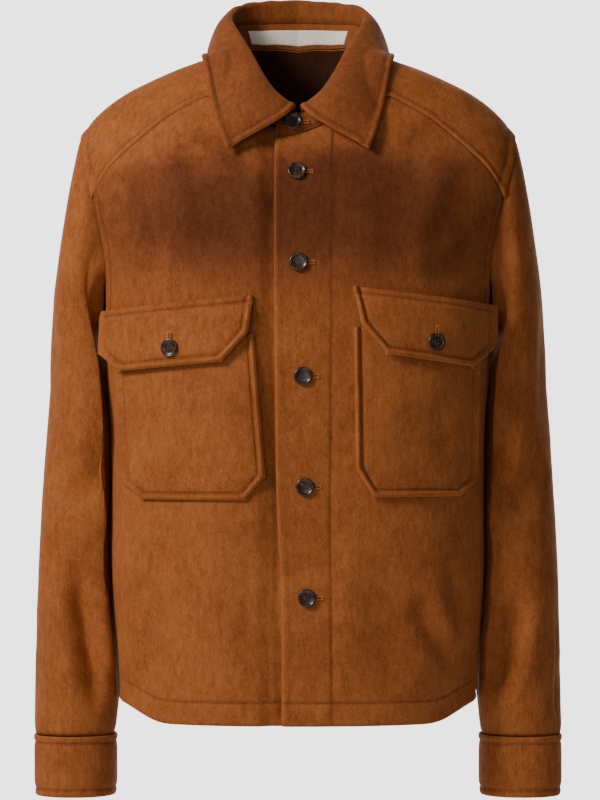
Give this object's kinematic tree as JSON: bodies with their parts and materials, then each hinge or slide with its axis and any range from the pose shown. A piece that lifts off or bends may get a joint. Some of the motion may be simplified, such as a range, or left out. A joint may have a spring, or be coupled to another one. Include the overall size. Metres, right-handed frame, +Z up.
{
  "type": "wool overshirt jacket",
  "caption": "Buttoned wool overshirt jacket with a turned collar, shoulder yoke, flapped chest pockets and cuffed sleeves, hollow as worn.",
  "frame": {"origin": "middle of the neck base, level with the points where the shoulder ridges meet the neckline", "axes": "+Z up as worn, -Y towards the wearer's front, +X towards the wearer's left"},
  "size_m": [0.532, 0.2149, 0.8115],
  "materials": {
    "wool": "brushed tobacco-brown wool, short nap, mottled",
    "horn": "dark horn-like buttons, satin, with tan sewing thread",
    "tape": "plain off-white woven label, left bare"
  },
  "bodies": {
    "root": {"front_left": "wool", "front_right": "wool", "back": "wool", "yoke": "wool", "sleeve_left": "wool", "sleeve_right": "wool", "cuff_left": "wool", "cuff_right": "wool", "collar_stand": "wool", "collar_fall": "wool", "pocket_left": "wool", "pocket_right": "wool", "flap_left": "wool", "flap_right": "wool", "button_front_1": "horn", "button_front_2": "horn", "button_front_3": "horn", "button_front_4": "horn", "button_front_5": "horn", "button_flap_right": "horn", "button_flap_left": "horn", "button_stand": "horn", "button_cuff_left": "horn", "button_cuff_right": "horn", "neck_label": "tape"}
  },
  "joints": []
}
